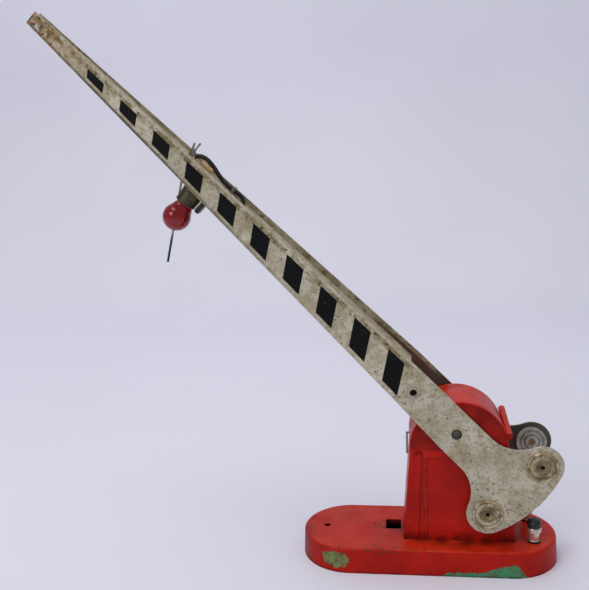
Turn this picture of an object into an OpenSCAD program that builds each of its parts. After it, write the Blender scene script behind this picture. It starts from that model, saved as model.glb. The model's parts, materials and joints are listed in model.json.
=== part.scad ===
// Electric toy-train level-crossing gate: a counterweighted boom with a lamp, on a cast
// tower that hides the solenoid which works it. Millimetres, +Z up. The origin is the centre
// of the base's underside; the boom points to -X, the binding posts stand at the +X end.

/* [Base] */
// Length of the base, end to end
base_l = 106; // [100:1:115]
// Width of the base
base_w = 41.4; // [40:0.2:46]
// Height of the base
base_h = 10.5; // [10:0.1:12]
// Wall of the base casting
base_wall = 2.2; // [1.8:0.1:2.4]
// Radius of the two screw holes that hold the base down
screw_hole_r = 1.5; // [1.2:0.1:1.8]
// Distance between the two screw holes
screw_spacing = 85.6; // [84:0.2:88]

/* [Tower] */
// X of the middle of the tower
tower_x = 12.4; // [12:0.1:12.8]
// Length of the tower at its foot
tower_foot_l = 45; // [44.6:0.1:46.4]
// Length of the tower at the seam under the dome
tower_top_l = 39.2; // [39:0.1:40.4]
// Width of the tower across the boom
tower_w = 21.2; // [21:0.1:21.6]
// Height of the seam between tower and dome
seam_z = 47.4; // [46.8:0.1:48]
// Wall of the tower casting
tower_wall = 1.6; // [1.4:0.1:1.8]
// Width of the dome across the boom
dome_w = 25.6; // [25.4:0.1:25.8]
// Height of the dome's centre above the table
dome_z = 51; // [50.6:0.1:51.4]

/* [Gate] */
// X of the pivot axle
pivot_x = 11.4; // [11.2:0.1:11.6]
// Height of the pivot axle
pivot_z = 57.7; // [57.4:0.1:58]
// How far the boom is raised above level as stored
boom_raise = 45.9; // [44:0.1:48]
// Length of the boom from the pivot to its tip
boom_l = 237.7; // [230:0.1:245]
// Width over the two boom plates at the pivot
boom_root_w = 28.8; // [28.6:0.1:29.2]
// Width over the two boom plates at the tip
boom_tip_w = 5.4; // [5.2:0.1:8]
// Thickness of the boom plates
plate_t = 0.8; // [0.6:0.1:0.8]
// Radius of the pivot axle
axle_r = 1.5; // [1.3:0.1:1.6]
// Radius of the counterweight discs
weight_r = 6.3; // [5.6:0.1:6.6]

/* [Lamp] */
// Distance of the lamp from the pivot along the boom
lamp_u = 143; // [142:0.1:146]
// Radius of the glass globe
globe_r = 5.8; // [5.4:0.1:6]
// How far the lamp leans from square to the boom
lamp_tilt = 8; // [6:1:16]
// Length of the drop rod below its pin
rod_l = 42.5; // [40:0.5:50]

/* [Hidden] */
$fn = 64;
fit = 0.05;
gap = 0.03;
e = 0.01;

// base
base_r = base_w / 2;
base_c = base_l / 2 - base_r;
base_draft = 0.5;
base_round = 0.9;
boss_r = 3.4;
cover_t = 1;
plate_screw_x = [-26, 21];
// The base's drafted side with its rounded top edge, from the foot upwards
base_slope = atan(base_draft / base_h);
round_z = base_h - base_round;
round_x = base_r - base_draft * round_z / base_h - base_round / cos(base_slope);
base_side = concat([[base_r, 0]], arc([round_x, round_z], base_round, base_slope, 90, 8));
slot_x = [-17.6, -11.2];
slot_y = [-2, 6.6];
post_x = 42.4;
post_y = 9.4;
stud_r = 1.25;
bush_r = 1.9;

// tower
foot_x = tower_foot_l / 2;
top_x = tower_top_l / 2;
collar_top = seam_z + 3;
casing_screw_dx = 18.6;
bead_r = 1.6;
bead_foot_dx = 17.2;
bead_top_dx = 15.8;
bead_sink = 0.9;
ridge_t = 0.4;
ridge_dx = 13.2;
dome_wall = 1.8;
cheek_y = tower_w / 2 + 0.1;
dome_round = 0.7;

// gate
plate_y = boom_root_w / 2;
bend_u = 27;
toe_in = atan((boom_root_w - boom_tip_w) / 2 / (boom_l - bend_u));
edge_root = 8.6;
edge_bend = [-7.5, 8.5];
edge_tip = [-3.8, 1.9];
web_root_u = 30;
web_w = [5.3, 1.5];
ear_u = -32.4;
ear_w = 14.6;
ear_r = 8.4;
lobe_end_u = -43.4;
neck_fillet = 15;
rivet_r = 1.6;
hub_collar_r = 2.1;
eyelet_u = 24;
eyelet_r = 1.9;
tip_hole_u = 231.6;

// the lobe's end is an arc that touches both ears on the inside
end_gap = ear_u - lobe_end_u;
end_r = (ear_w * ear_w + end_gap * end_gap - ear_r * ear_r) / (2 * (end_gap - ear_r));
end_c = lobe_end_u + end_r;
end_a = atan2(ear_w, ear_u - end_c);
// the neck's fillet touches the straight edge and the ear on the outside
fillet_w = edge_root + neck_fillet;
fillet_u = ear_u + sqrt(pow(ear_r + neck_fillet, 2) - pow(fillet_w - ear_w, 2));
neck_a = atan2(fillet_w - ear_w, fillet_u - ear_u);

// solenoid and crank
coil_x = 5.5;
plunger_r = 3.5;
frame_t = 1.5;
frame_w = 18;
frame_top = 43;
coil_r = 7.2;
crank_l = 6.5;
crank_pin_r = 1;
swing_high = 38;
crank_rest = (swing_high + boom_raise) / 2 - swing_high;
plunger_lift = 6.1;
yoke_z = pivot_z + plunger_lift * crank_rest * PI / 180;
plunger_low = 22.5;
plunger_top = 51;

// lamp, rod and lead
lamp_y = -0.7;
lamp_w = -7.5;
globe_drop = 11.6;
socket_r = 4.45;
rod_pin_u = 154.9;
rod_pin_w = -1.7;
rod_y = 5.8;
rod_r = 0.5;
rod_lean = 32;
wire_r = 0.9;
lead_r = 0.7;

// route of the lamp's lead in the boom's frame: along, above, across
lamp_lead = [
    [152, 4.4, -1.2], [150.8, 6, -1], [149.2, 6.8, -0.6], [147.2, 7, 0], [145, 6.7, 0.6],
    [142.5, 6.1, 1.2], [140, 5.3, 1.9], [137.6, 4.7, 2.6], [135, 4.5, 3.1],
    [132, 4.6, 3.6], [129.5, 4.9, 3.9], [127.6, 4.9, 4.1], [126, 4.1, 4.2], [124.8, 2.6, 4.2],
    [123.4, 1, 4.1], [121, 0.2, 4], [117, 0, 4], [110, 0.1, 4], [98, 0.3, 4], [84, 0.6, 4],
    [70, 0.9, 4], [56, 1.2, 4], [46, 1.5, 4], [41, 1.6, 3.4], [38, 1.7, 2]
];
// routes of the two leads under the base, from the coil to the binding studs
near_lead = [
    [16.6, -3, 16], [17, -3.2, 12.5], [17.2, -3.4, 9], [17.6, -4, 6.4], [19.4, -5.4, 5], [23, -7, 4.6],
    [28, -8.6, 4.6], [33, -9.4, 4.8], [37, -9.4, 5], [39.6, -9.4, 5]
];
far_lead = [for (p = near_lead) [p[0], -p[1], p[2]]];

// ---------- helpers ----------

// Points along an arc about c, from angle a0 to a1
function arc(c, r, a0, a1, n) =
    [for (i = [0 : n]) let (a = a0 + (a1 - a0) * i / n) c + r * [cos(a), sin(a)]];

// A stadium of radius r with its end centres at +-c
module stadium(r, c) {
    polygon(concat(arc([c, 0], r, -90, 90, 60), arc([-c, 0], r, 90, 270, 60)));
}

// A block with rounded vertical edges
module rounded_block(x, y, h, r) {
    linear_extrude(h) {
        translate([-x / 2 + r, -y / 2]) square([x - 2 * r, y]);
        translate([-x / 2, -y / 2 + r]) square([x, y - 2 * r]);
        for (sx = [-1, 1], sy = [-1, 1])
            translate([sx * (x / 2 - r), sy * (y / 2 - r)]) circle(r);
    }
}

// A disc with its axis along Y, its outer edges rounded
module rounded_disc(r, w, round_r) {
    rotate([90, 0, 0]) rotate_extrude($fn = 128) {
        translate([0, -w / 2]) square([r - round_r, w]);
        translate([0, -w / 2 + round_r]) square([r, w - 2 * round_r]);
        for (s = [-1, 1]) translate([r - round_r, s * (w / 2 - round_r)]) circle(round_r);
    }
}

// Places children in the boom's frame: X along it, Y to its upper side, Z across it
module boom_frame() {
    translate([pivot_x, 0, pivot_z]) rotate([0, boom_raise - 180, 0]) rotate([-90, 0, 0]) children();
}

// A rod across the boom from z0 to z1
module across(u, w, r, z0, z1) {
    translate([u, w, z0]) cylinder(r = r, h = z1 - z0);
}

// Height of the web's upper face and half the width over the plates, at u along the boom
function web_at(u) = web_w[0] + (web_w[1] - web_w[0]) * (u - web_root_u) / (boom_l - web_root_u);
function half_at(u) = plate_y - max(0, u - bend_u) * tan(toe_in);

// A tube swept along a list of points, with its rings square to the path
function unit(v) = v / norm(v);
function heading(p, i) = unit(p[min(i + 1, len(p) - 1)] - p[max(i - 1, 0)]);
function ring(c, d, r, n) =
    let (side = unit(cross(d, abs(d[1]) < 0.9 ? [0, 1, 0] : [1, 0, 0])), up = cross(side, d))
    [for (k = [0 : n - 1]) c + r * (cos(360 * k / n) * side + sin(360 * k / n) * up)];
module tube(path, r, n = 8) {
    m = len(path);
    points = [for (i = [0 : m - 1]) each ring(path[i], heading(path, i), r, n)];
    sides = [for (i = [0 : m - 2], k = [0 : n - 1])
        [i * n + k, (i + 1) * n + k, (i + 1) * n + (k + 1) % n, i * n + (k + 1) % n]];
    ends = [[for (k = [0 : n - 1]) k], [for (k = [n - 1 : -1 : 0]) (m - 1) * n + k]];
    polyhedron(points, concat(sides, ends));
}

// ---------- base ----------

module base_casting() color("firebrick") {
    difference() {
        union() {
            for (a = [-90, 90]) rotate([0, 0, a + 90]) translate([base_c, 0, 0]) rotate([0, 0, -90])
                rotate_extrude(angle = 180, $fn = 128) polygon(concat([[0, 0]], base_side, [[0, base_h]]));
            translate([-base_c, 0, 0]) rotate([90, 0, 90]) linear_extrude(2 * base_c)
                polygon(concat(base_side,
                    [for (i = [len(base_side) - 1 : -1 : 0]) [-base_side[i][0], base_side[i][1]]]));
        }
        difference() {
            translate([0, 0, -e]) linear_extrude(base_h - base_wall + e)
                stadium(base_r - base_wall, base_c);
            for (s = [-1, 1]) translate([s * screw_spacing / 2, 0, cover_t]) cylinder(r = boss_r, h = base_h);
            for (x = plate_screw_x) translate([x, 0, cover_t]) cylinder(r = 2.6, h = base_h);
        }
        for (s = [-1, 1]) translate([s * screw_spacing / 2, 0, 0])
            cylinder(r = screw_hole_r, h = 3 * base_h, center = true);
        for (x = plate_screw_x) translate([x, 0, 0]) cylinder(r = 1, h = 6.5);
        for (s = [-1, 1]) translate([post_x, s * post_y, 0]) cylinder(r = bush_r, h = 2 * base_h);
        for (s = [-1, 1]) translate([tower_x + s * casing_screw_dx, 0, 0]) cylinder(r = 1.3, h = 2 * base_h);
        for (x = [-1.6, 12.6]) translate([x, 0, 0]) cylinder(r = 1.3, h = 2 * base_h);
        for (s = [-1, 1]) translate([17.1, s * 3.3, 0]) cylinder(r = 1.4, h = 2 * base_h);
        translate([slot_x[0], slot_y[0], cover_t])
            cube([slot_x[1] - slot_x[0], slot_y[1] - slot_y[0], base_h]);
    }
}

module bottom_plate() color("dimgray") difference() {
    linear_extrude(cover_t) stadium(base_r - base_wall - 0.1, base_c);
    for (s = [-1, 1]) translate([s * screw_spacing / 2, 0, -e]) cylinder(r = screw_hole_r, h = 3);
    for (x = plate_screw_x) translate([x, 0, -e]) {
        cylinder(r = 1.1, h = 3);
        cylinder(r = 2.05, h = 0.6 + e);
    }
}

// A round-headed screw pointing up, its head's underside at z = 0
module screw(shank_r, shank_l, head_r, head_h) {
    translate([0, 0, -e]) cylinder(r = shank_r, h = shank_l + e);
    difference() {
        rotate_extrude() intersection() {
            translate([0, -head_h]) square([head_r, head_h]);
            scale_r = (head_r * head_r + head_h * head_h) / (2 * head_h);
            translate([0, scale_r - head_h]) circle(scale_r, $fn = 128);
        }
        translate([-head_r, -0.25, -head_h - e]) cube([2 * head_r, 0.5, head_h / 2 + e]);
    }
}

module bottom_screws() color("silver")
    for (x = plate_screw_x) translate([x, 0, 0.6]) screw(1, 5.8, 1.9, 0.5);

// ---------- tower ----------

// Side view of the tower between two heights, inset by a wall
module tower_side(z0, z1, inset) {
    x0 = foot_x - (foot_x - top_x) * (z0 - base_h) / (seam_z - base_h) - inset;
    x1 = foot_x - (foot_x - top_x) * (z1 - base_h) / (seam_z - base_h) - inset;
    polygon([[-x0, z0], [x0, z0], [x1, z1], [-x1, z1]]);
}

// Extrudes a side view across the tower
module across_tower(w) {
    translate([tower_x, w / 2, 0]) rotate([90, 0, 0]) linear_extrude(w) children();
}

// A half-round corner bead with a domed top, leaning with the tower's taper
module corner_bead() {
    run = bead_foot_dx - bead_top_dx;
    rise = seam_z + 0.2 - base_h;
    translate([-bead_foot_dx, 0, base_h]) rotate([0, atan(run / rise), 0]) {
        cylinder(r = bead_r, h = norm([run, rise]));
        translate([0, 0, norm([run, rise])]) sphere(bead_r);
    }
}

// Raised frame lines around the tower's flat panel
module panel_frame() {
    for (s = [-1, 1]) translate([s * ridge_dx - 0.45, -ridge_t, base_h])
        cube([0.9, 2 * ridge_t, seam_z - 0.6 - base_h]);
    translate([-ridge_dx, -ridge_t, seam_z - 1.5]) cube([2 * ridge_dx, 2 * ridge_t, 0.9]);
}

module tower_casing() color("firebrick") {
    difference() {
        union() {
            across_tower(tower_w) tower_side(base_h, seam_z, 0);
            across_tower(tower_w) translate([-top_x + 1.9, seam_z - e])
                square([2 * top_x - 3.8, collar_top - seam_z]);
        }
        across_tower(tower_w - 2 * tower_wall) {
            tower_side(base_h - e, seam_z, tower_wall);
            translate([-top_x + 1.9 + tower_wall, seam_z - 2]) square([2 * (top_x - 1.9 - tower_wall), 10]);
        }
    }
    for (s = [-1, 1]) {
        intersection() {
            translate([tower_x + s * casing_screw_dx, 0, base_h]) difference() {
                cylinder(r = 2.2, h = 9);
                translate([0, 0, -e]) cylinder(r = 1, h = 7.5);
            }
            across_tower(8) tower_side(base_h - 1, base_h + 12, 0.5);
        }
        translate([tower_x, s * (tower_w / 2 - bead_sink), 0]) {
            corner_bead();
            mirror([1, 0, 0]) corner_bead();
        }
        translate([tower_x, s * tower_w / 2, 0]) panel_frame();
    }
}

module casing_screws() color("silver")
    for (s = [-1, 1]) translate([tower_x + s * casing_screw_dx, 0, base_h - base_wall]) screw(1, 8.6, 2, 1);

module dome_cap() color("tomato") difference() {
    union() {
        translate([tower_x, 0, seam_z]) rounded_block(2 * top_x, dome_w, dome_z - seam_z, dome_round);
        intersection() {
            translate([tower_x, 0, dome_z]) rounded_disc(top_x, dome_w, dome_round);
            translate([tower_x - 30, -20, dome_z - e]) cube([60, 40, 30]);
        }
    }
    // the hollow
    translate([tower_x - top_x + dome_wall, -cheek_y, seam_z - e])
        cube([2 * (top_x - dome_wall), 2 * cheek_y, dome_z - seam_z + 2 * e]);
    intersection() {
        translate([tower_x, cheek_y, dome_z]) rotate([90, 0, 0])
            cylinder(r = top_x - dome_wall, h = 2 * cheek_y, $fn = 128);
        translate([tower_x - 30, -20, dome_z - e]) cube([60, 40, 30]);
    }
    // the axle's bores
    translate([pivot_x, 0, pivot_z]) rotate([90, 0, 0]) cylinder(r = axle_r + 0.06, h = 40, center = true);
    // arches over the tops of the corner beads
    for (s = [-1, 1]) translate([tower_x + s * bead_top_dx, 0, seam_z]) rotate([90, 0, 0]) {
        translate([0, 0.5, 0]) cylinder(r = bead_r + 0.6, h = 40, center = true);
        translate([-bead_r - 0.6, -1, -20]) cube([2 * bead_r + 1.2, 1.5, 40]);
    }
    // the buffer bar's groove and the staple's two holes
    rear_bar(fit);
    for (s = [-1, 1]) translate([tower_x - top_x - 0.1, s * 11.2, seam_z + 1.4]) rotate([0, 90, 0])
        cylinder(r = 0.45, h = 1.2);
}

module rear_bar(extra) {
    translate([31.9, 0, 57.9]) rotate([90 + 7, 0, 0])
        cylinder(r = 1.4 + extra, h = 25.4 + 6 * extra, center = true);
}

module rear_buffer_bar() color("indianred") rear_bar(0);

module front_wire_staple() color("gray") {
    translate([tower_x - top_x - 0.95, 0, seam_z + 1.4]) {
        rotate([90, 0, 0]) cylinder(r = 0.45, h = 22.4, center = true);
        for (s = [-1, 1]) translate([0, s * 11.2, 0]) {
            sphere(0.45);
            rotate([0, 90, 0]) cylinder(r = 0.45, h = 2);
        }
    }
}

// ---------- solenoid ----------

module solenoid_frame() color("slategray") difference() {
    translate([coil_x - frame_w / 2, -5.5, base_h]) cube([frame_w, 11, frame_top + frame_t - base_h]);
    translate([coil_x - frame_w / 2 + frame_t, -6, base_h + frame_t])
        cube([frame_w - 2 * frame_t, 12, frame_top - base_h - frame_t]);
    translate([coil_x, 0, 30]) cylinder(r = plunger_r + 0.4, h = 30);
    for (x = [-1.6, 12.6]) translate([x, 0, 0]) cylinder(r = 1, h = 20);
}

module solenoid_screws() color("silver")
    for (x = [-1.6, 12.6]) translate([x, 0, base_h - base_wall]) screw(1, base_wall + frame_t, 2, 1);

module coil_bobbin() color("saddlebrown") difference() {
    union() {
        translate([coil_x, 0, base_h + frame_t]) cylinder(r = coil_r + 0.2, h = 1.2);
        translate([coil_x, 0, frame_top - 1.2]) cylinder(r = coil_r + 0.2, h = 1.2);
        translate([coil_x, 0, base_h + frame_t]) cylinder(r = 4.3, h = frame_top - base_h - frame_t);
    }
    translate([coil_x, 0, 0]) cylinder(r = plunger_r + 0.08, h = 60);
}

module coil_winding() color("sienna") difference() {
    translate([coil_x, 0, base_h + frame_t + 1.2])
        cylinder(r = coil_r, h = frame_top - base_h - frame_t - 2.4);
    translate([coil_x, 0, 0]) cylinder(r = 4.3, h = 60);
}

module core_stop() color("gray")
    translate([coil_x, 0, base_h + frame_t]) cylinder(r = plunger_r - 0.1, h = 5);

// The slug slides in the coil; the slotted plate on top carries the crank's pin
module plunger() color("silver") {
    translate([coil_x, 0, plunger_low]) cylinder(r = plunger_r, h = plunger_top - plunger_low);
    difference() {
        translate([2.4, 1.5, plunger_top - 1.2]) cube([6.6, 1.5, yoke_z + 2.1 - plunger_top + 1.2]);
        for (x = [4.8, 6.7]) translate([x, 0, yoke_z]) rotate([-90, 0, 0])
            cylinder(r = crank_pin_r + 0.3, h = 10);
        translate([4.8, 0, yoke_z - crank_pin_r - 0.3]) cube([1.9, 10, 2 * crank_pin_r + 0.6]);
    }
}

// ---------- pivot ----------

// Places children at the pivot, with Z across the boom
module at_pivot() {
    translate([pivot_x, 0, pivot_z]) rotate([-90, 0, 0]) children();
}

module pivot_axle() color("gray")
    at_pivot() cylinder(r = axle_r, h = boom_root_w - 0.5, center = true);

module axle_collars() color("dimgray") at_pivot()
    for (s = [-1, 1]) difference() {
        translate([0, 0, s * (plate_y - plate_t / 2)])
            cylinder(r = hub_collar_r, h = plate_t + 0.1, center = true);
        cylinder(r = axle_r, h = 60, center = true);
    }

module side_washers() color("silver") at_pivot()
    for (s = [-1, 1]) difference() {
        translate([0, 0, s * (dome_w / 2 + 0.4)]) cylinder(r = 4, h = 0.6, center = true);
        cylinder(r = axle_r, h = 60, center = true);
    }

module crank_frame() {
    at_pivot() rotate([0, 0, crank_rest]) children();
}

module crank() color("slategray") crank_frame() difference() {
    union() {
        translate([0, 0, -1.2]) cylinder(r = 2.9, h = 2.4);
        translate([-crank_l, 0, -1.2]) cylinder(r = 1.9, h = 2.4);
        translate([-crank_l, -1.9, -1.2]) cube([crank_l, 3.8, 2.4]);
    }
    cylinder(r = axle_r, h = 20, center = true);
    translate([-crank_l, 0, 0]) cylinder(r = crank_pin_r, h = 20, center = true);
}

module crank_pin() color("silver") crank_frame()
    translate([-crank_l, 0, -1.2]) cylinder(r = crank_pin_r, h = 4.8);

// ---------- boom ----------

// Outline of an arm plate: straight taper, neck fillets, two ears and the end arc
module arm_outline() {
    polygon(concat(
        [[boom_l, edge_tip[0]], [boom_l, edge_tip[1]], [bend_u, edge_bend[1]]],
        arc([fillet_u, fillet_w], neck_fillet, 270, 180 + neck_a, 12),
        arc([ear_u, ear_w], ear_r, neck_a, end_a, 30),
        arc([end_c, 0], end_r, end_a, 360 - end_a, 16),
        arc([ear_u, -ear_w], ear_r, 360 - end_a, 360 - neck_a, 30),
        arc([fillet_u, -fillet_w], neck_fillet, 180 - neck_a, 90, 12),
        [[0, -edge_root], [bend_u, edge_bend[0]]]
    ));
}

// The sheet seen from above, straight beside the dome and then toed in to the tip
module arm_strip() {
    inner = plate_y - plate_t;
    tip_z = boom_tip_w / 2;
    polygon([
        [lobe_end_u - 5, inner], [bend_u - plate_t * tan(toe_in / 2), inner],
        [boom_l + 5, tip_z - 5 * tan(toe_in) - plate_t / cos(toe_in)], [boom_l + 5, tip_z - 5 * tan(toe_in)],
        [bend_u, plate_y], [lobe_end_u - 5, plate_y]
    ]);
}

module arm_plate(side) {
    difference() {
        intersection() {
            translate([0, 0, -20]) linear_extrude(40) arm_outline();
            mirror([0, 0, side > 0 ? 0 : 1]) rotate([90, 0, 0]) linear_extrude(60, center = true) arm_strip();
        }
        across(0, 0, hub_collar_r, -20, 20);
        across(eyelet_u, 0, eyelet_r, -20, 20);
        for (s = [-1, 1]) across(ear_u, s * ear_w, rivet_r, -20, 20);
        across(tip_hole_u, -0.6, 0.9, -20, 20);
        if (side > 0) across(rod_pin_u, rod_pin_w, 0.6, 0, 20);
    }
}

module near_arm_plate() color("lightgray") boom_frame() arm_plate(-1);
module far_arm_plate() color("lightgray") boom_frame() arm_plate(1);

// The web lies in the trough between the plates, with a window at the lamp
module arm_web() color("silver") boom_frame() difference() {
    slope = atan((web_w[0] - web_w[1]) / (boom_l - web_root_u));
    translate([web_root_u, web_w[0] - plate_t, 0]) rotate([0, 0, -slope]) rotate([-90, 0, 0])
        linear_extrude(plate_t)
        polygon([
            for (s = [-1, 1], u = s < 0 ? [web_root_u, boom_l - 0.4] : [boom_l - 0.4, web_root_u])
                [(u - web_root_u) / cos(slope), s * (half_at(u) - plate_t / cos(toe_in) - gap)]
        ]);
    translate([151.2, 0, -2.6]) cube([6, 10, 4.4]);
    translate([142.2, 0, lamp_y - 3]) cube([5, 10, 6]);
    translate([125, 2.9, 4.1]) rotate([90, 0, 0]) cylinder(r = wire_r + 0.5, h = 10, center = true);
    translate([133, 0, -4]) rotate([90, 0, 0]) cylinder(r = 1.05, h = 20, center = true);
    translate([38, 0, 0]) rotate([90, 0, 0]) cylinder(r = 1.05, h = 20, center = true);
}

module cross_tube() color("lightsteelblue") boom_frame() difference() {
    union() {
        across(eyelet_u, 0, eyelet_r, -plate_y - 0.35, plate_y + 0.35);
        for (s = [-1, 1]) translate([eyelet_u, 0, s * (plate_y + 0.175)])
            cylinder(r = 2.5, h = 0.35, center = true);
    }
    across(eyelet_u, 0, 1.45, -20, 20);
}

// ---------- counterweights ----------

module weight(side, w) color("dimgray") boom_frame() difference() {
    translate([ear_u, w, side * (plate_y - plate_t - 0.65)]) rotate_extrude() {
        translate([0, -0.65]) square([weight_r, 1.3]);
    }
    across(ear_u, w, rivet_r, -20, 20);
    for (r = [[4.9, 4.3], [3.4, 2.9]]) translate([ear_u, w, side * (plate_y - plate_t - 1.3)]) difference() {
        cylinder(r = r[0], h = 0.5, center = true);
        cylinder(r = r[1], h = 1, center = true);
    }
}

module near_upper_weight() weight(-1, ear_w);
module near_lower_weight() weight(-1, -ear_w);
module far_upper_weight() weight(1, ear_w);
module far_lower_weight() weight(1, -ear_w);

// Dished washers under the rivet heads on the plates' outer faces
module weight_washers() color("gainsboro") boom_frame()
    for (s = [-1, 1], w = [-ear_w, ear_w]) translate([ear_u, w, s * plate_y]) mirror([0, 0, s < 0 ? 1 : 0])
        rotate_extrude() {
            translate([rivet_r, 0]) square([6.1 - rivet_r, 0.4]);
            translate([5.55, 0.5]) circle(0.5);
            translate([3.4, 0.38]) circle(0.35);
        }

module weight_rivets() color("darkgray") boom_frame()
    for (w = [-ear_w, ear_w], s = [-1, 1]) translate([ear_u, w, 0]) mirror([0, 0, s < 0 ? 1 : 0])
        rotate_extrude() {
            translate([0.9, plate_y - plate_t - 1.3]) square([rivet_r - 0.9, plate_t + 1.3 + 0.5]);
            translate([0.9, plate_y + 0.4]) square([1.75, 0.35]);
            translate([2.1, plate_y + 0.75]) circle(0.35);
            translate([0, plate_y - plate_t - 1.3]) square([rivet_r, 0.7]);
        }

// ---------- lamp ----------

// Places children on the lamp's axis: Z from the globe's centre up to the web
module lamp_frame() {
    boom_frame() translate([lamp_u, lamp_w, lamp_y]) rotate([0, 0, -lamp_tilt]) translate([0, -globe_drop, 0])
        rotate([-90, 0, 0]) children();
}

module lamp_socket() color("darkolivegreen") lamp_frame() rotate_extrude() {
    translate([socket_r - 0.35, 6.8]) square([0.35, 10.6]);
    translate([1.2, 16.9]) square([socket_r - 1.2, 0.5]);
    translate([socket_r - 0.1, 7.2]) circle(0.3);
}

module socket_insulator() color("tan") lamp_frame() rotate_extrude()
    translate([1.2, 16]) square([socket_r - 0.4 - 1.2, 0.9]);

module bulb_base() color("goldenrod") lamp_frame() rotate_extrude() {
    translate([3.4, 6.6]) square([0.4, 7.6]);
    for (z = [7.8 : 1.5 : 13.8]) translate([3.74, z]) circle(0.24, $fn = 24);
    polygon([[0, 14.2], [3.8, 14.2], [3.2, 14.9], [1.1, 15.1], [1.1, 15.7], [0, 15.9]]);
}

module bulb_glass() color("crimson", 0.6) lamp_frame() rotate_extrude($fn = 96) difference() {
    union() {
        circle(globe_r);
        polygon([[0, 0], [4.75, 3.33], [3.9, 5.4], [3.35, 6.5], [3.35, 7.6], [0, 7.6]]);
    }
    circle(globe_r - 0.5);
    polygon([[0, 0], [4.25, 3.05], [3.4, 5.2], [2.85, 6.3], [2.85, 7.2], [0, 7.2]]);
    translate([-10, -10]) square([10, 40]);
    translate([-1, 7]) square([2.5, 1]);
}

module bulb_filament() color("gray") lamp_frame() {
    for (s = [-1, 1]) translate([s * 1.1, 0, 1.4]) cylinder(r = 0.16, h = 12.8, $fn = 16);
    translate([0, 0, 1.4]) rotate([0, 90, 0]) cylinder(r = 0.28, h = 2.5, center = true, $fn = 16);
    translate([0, 0, 6.6]) cylinder(r = 1.45, h = 1);
}

// The spring strip that feeds the bulb's tip, held under the socket's insulator
module centre_contact() color("goldenrod") lamp_frame() {
    translate([0, 0, 15.95]) cylinder(r = 1.1, h = 2.4);
    translate([0, 0, 18.35]) cylinder(r = 2, h = 0.4);
}

module lamp_bracket() color("silver") boom_frame() {
    translate([137.25, -10.8, lamp_y - 3]) cube([0.8, 13.2, 4.4]);
    difference() {
        translate([131, 1.65, lamp_y - 5.3]) cube([7, 0.75, 6.7]);
        translate([133, 0, -4]) rotate([90, 0, 0]) cylinder(r = 1, h = 20, center = true);
    }
}

module bracket_insulator() color("black") boom_frame()
    translate([135.45, -11.4, lamp_y - 3.2]) cube([1.8, 5.2, 4.8]);

module bracket_rivet() color("gray") boom_frame() translate([133, 0, -4]) rotate([90, 0, 0]) {
    translate([0, 0, -4.2]) cylinder(r = 1, h = 3.4);
    translate([0, 0, -1.65]) cylinder(r = 1.7, h = 0.6);
    translate([0, 0, -web_at(133) - 0.75]) cylinder(r = 1.7, h = 0.7);
}

// A fibre sleeve with a flat foot keeps the terminal off the web
module web_insulator() color("tan") boom_frame() {
    translate([142.6, web_at(142.6) + 0.03, -3.4]) rotate([0, 0, -1]) cube([9.8, 0.6, 4.4]);
    translate([143, web_at(143) + 1.4, -1.3]) rotate([0, 90, 0]) cylinder(r = 1.3, h = 5.6);
}

// A forked solder tag that stands up through the web
module lamp_terminal() color("gray") boom_frame() {
    translate([152.2, web_at(152) - 1.4, -1.4]) rotate([0, 0, -12]) {
        cube([2.1, 5.4, 0.7]);
        for (s = [0, 1]) translate([s * 1.3, 5.2, 0]) rotate([0, 0, 8 - s * 17]) cube([0.8, 3.4 - s, 0.7]);
    }
}

module lead_strap() color("silver") boom_frame() difference() {
    translate([131.3, web_at(131.3), 1.8]) cube([1.4, 2.7, 3.7]);
    translate([130, web_at(131.3) - e, 2.4]) cube([4, 2.2, 2.5]);
}

module lamp_lead() color("black") boom_frame() tube(lamp_lead, wire_r);

module lead_lug() color("goldenrod") boom_frame() translate([38, 0, 0]) {
    translate([0, web_at(38) - plate_t - 0.1, 0]) rotate([90, 0, 0]) cylinder(r = 2.2, h = 0.6);
    translate([0, 2.6, 0]) rotate([-90, 0, 0]) cylinder(r = 1, h = 3.2);
}

// ---------- drop rod ----------

module rod_pin() color("silver") boom_frame() {
    across(rod_pin_u, rod_pin_w, 0.6, 5.1, half_at(rod_pin_u) + 0.3);
    across(rod_pin_u, rod_pin_w, 1.1, 4.8, 5.2);
}

module drop_rod() color("gray") boom_frame()
    translate([rod_pin_u, rod_pin_w, rod_y]) rotate([0, 0, -rod_lean]) {
    difference() {
        translate([0, 0, -0.4]) cylinder(r = 1.25, h = 0.8);
        cylinder(r = 0.6 + fit, h = 10, center = true);
    }
    translate([0, -1, 0]) rotate([90, 0, 0]) cylinder(r = rod_r, h = rod_l - 1, $fn = 24);
}

// ---------- binding posts ----------

module at_posts() {
    for (s = [-1, 1]) translate([post_x, s * post_y, 0]) children();
}

module post_washers() color("black") at_posts() difference() {
    translate([0, 0, base_h]) cylinder(r = 2.6, h = 0.7);
    cylinder(r = stud_r, h = 20);
}

module stud_bushes() color("saddlebrown") at_posts() difference() {
    union() {
        translate([0, 0, base_h - base_wall]) cylinder(r = bush_r, h = base_wall);
        translate([0, 0, base_h - base_wall - 0.8]) cylinder(r = 3, h = 0.8);
    }
    cylinder(r = stud_r, h = 20);
}

module binding_studs() color("gold") at_posts() translate([0, 0, 2.6]) cylinder(r = stud_r, h = 17);

module stud_collars() color("whitesmoke") at_posts() rotate_extrude() difference() {
    polygon([[stud_r, 11.2], [2.3, 11.2], [2.15, 11.6], [2.45, 14.8],
        [2.9, 15.1], [2.9, 16.5], [2.6, 16.9], [stud_r, 16.9]]);
}

module stud_nuts() color("gold") at_posts() difference() {
    translate([0, 0, 5.7]) cylinder(r = 2.5, h = 1.8, $fn = 6);
    cylinder(r = stud_r, h = 20);
}

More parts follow.
